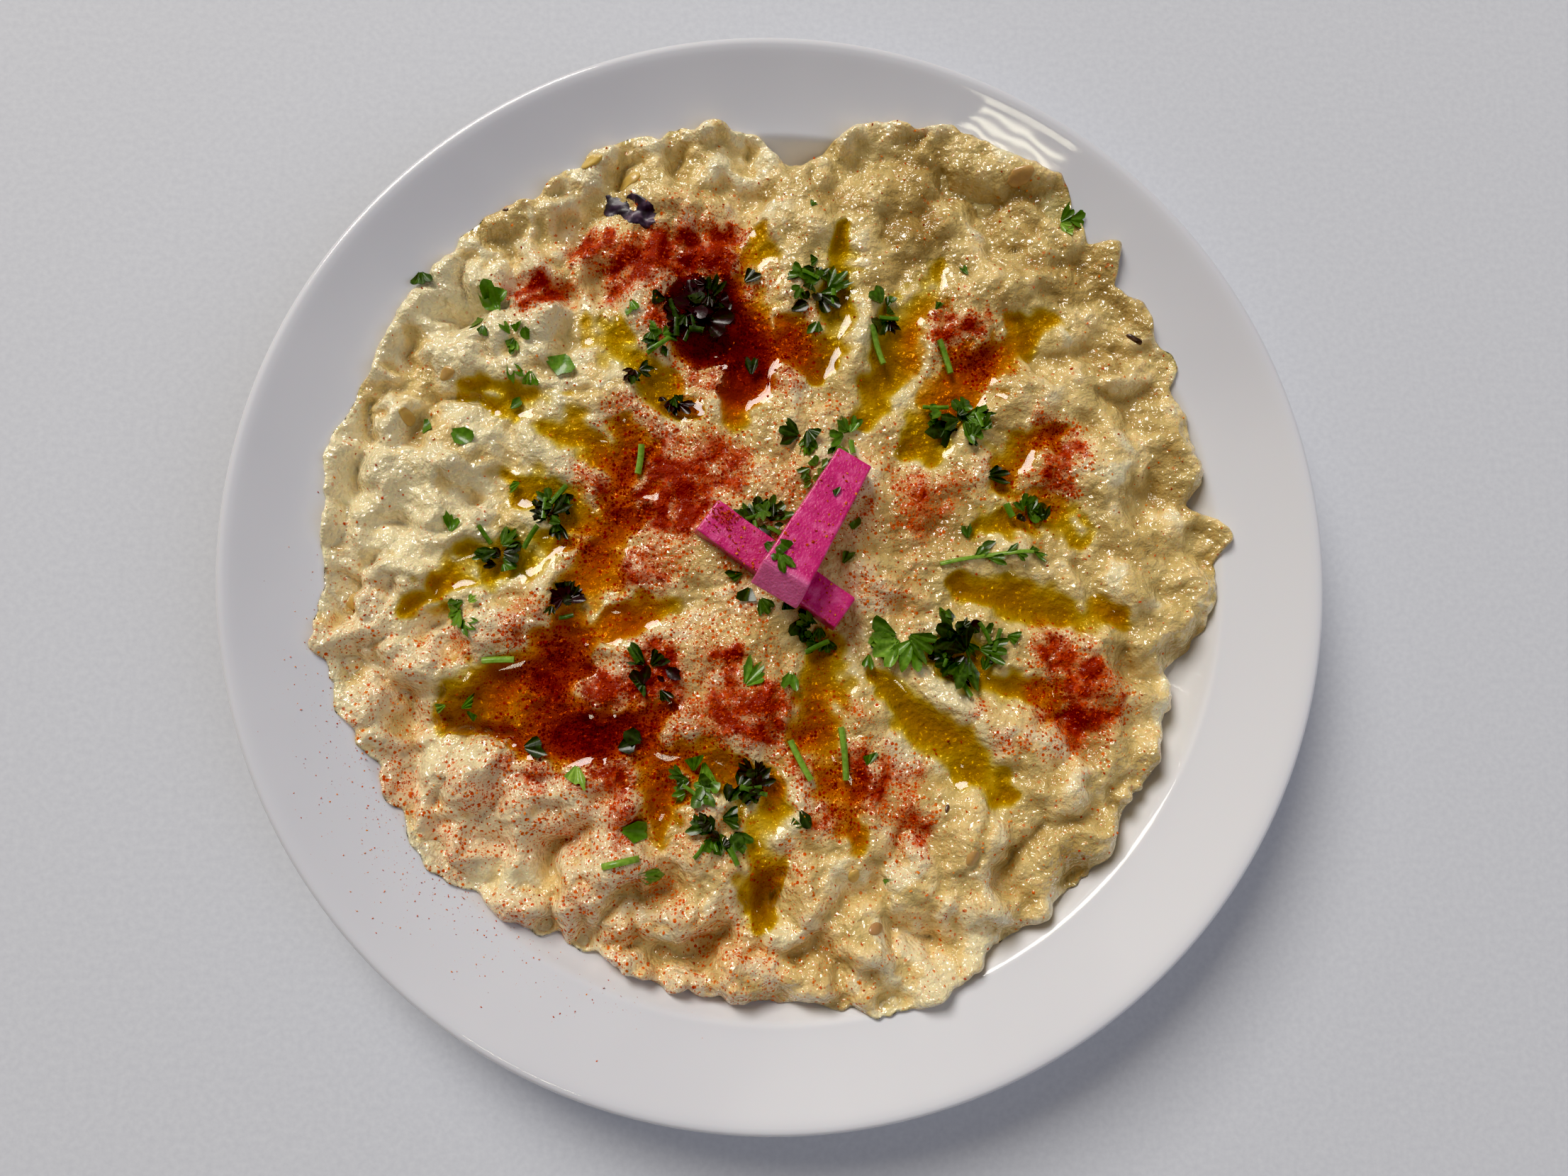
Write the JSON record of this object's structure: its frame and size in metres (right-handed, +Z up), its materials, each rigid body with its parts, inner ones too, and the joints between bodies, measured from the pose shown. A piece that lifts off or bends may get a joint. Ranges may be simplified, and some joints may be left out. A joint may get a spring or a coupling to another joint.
{
  "type": "baba ganoush on a plate",
  "caption": "Baba ganoush: mashed smoked aubergine spread over a round dinner plate, pressed into radial furrows that hold olive oil, with pickled turnip batons and chopped parsley",
  "frame": {"origin": "on the table, under the middle of the plate's foot ring", "axes": "+Z up; +X to the right and +Y to the far side, as the plate is seen from the front with the crossed turnip batons in the middle"},
  "size_m": [0.25, 0.25, 0.0295],
  "materials": {
    "porcelain": "white glazed porcelain, glossy",
    "aubergine_mash": "mashed aubergine and tahini, cream coloured, moist, dusted with paprika",
    "olive_oil": "clear yellow olive oil, mirror smooth, orange to dark red over paprika",
    "pickled_turnip": "turnip pickled in beetroot brine, magenta pink, wet, faint fibres",
    "charred_skin": "scorched aubergine skin, dark purple to black, dull",
    "parsley": "chopped parsley leaves and stalks, dark green, partly wet with oil"
  },
  "bodies": {
    "root": {"plate": "porcelain", "mash": "aubergine_mash", "oil_01": "olive_oil", "oil_02": "olive_oil", "oil_03": "olive_oil", "oil_04": "olive_oil", "oil_05": "olive_oil", "oil_06": "olive_oil", "oil_07": "olive_oil", "oil_08": "olive_oil", "oil_09": "olive_oil", "turnip_lower": "pickled_turnip", "turnip_upper": "pickled_turnip", "charred_skin": "charred_skin", "parsley_01": "parsley", "parsley_02": "parsley", "parsley_03": "parsley", "parsley_04": "parsley", "parsley_05": "parsley", "parsley_06": "parsley", "parsley_07": "parsley", "parsley_08": "parsley", "parsley_09": "parsley", "parsley_10": "parsley", "parsley_11": "parsley", "parsley_12": "parsley", "parsley_13": "parsley", "parsley_14": "parsley", "parsley_15": "parsley", "parsley_16": "parsley", "parsley_17": "parsley", "parsley_18": "parsley", "parsley_19": "parsley", "parsley_20": "parsley", "parsley_21": "parsley", "parsley_22": "parsley", "parsley_23": "parsley", "parsley_24": "parsley", "parsley_25": "parsley", "parsley_26": "parsley", "parsley_stalk_1": "parsley", "parsley_stalk_2": "parsley", "parsley_stalk_3": "parsley", "parsley_stalk_4": "parsley", "parsley_stalk_5": "parsley", "parsley_stalk_6": "parsley", "parsley_stalk_7": "parsley", "parsley_stalk_8": "parsley"}
  },
  "joints": []
}
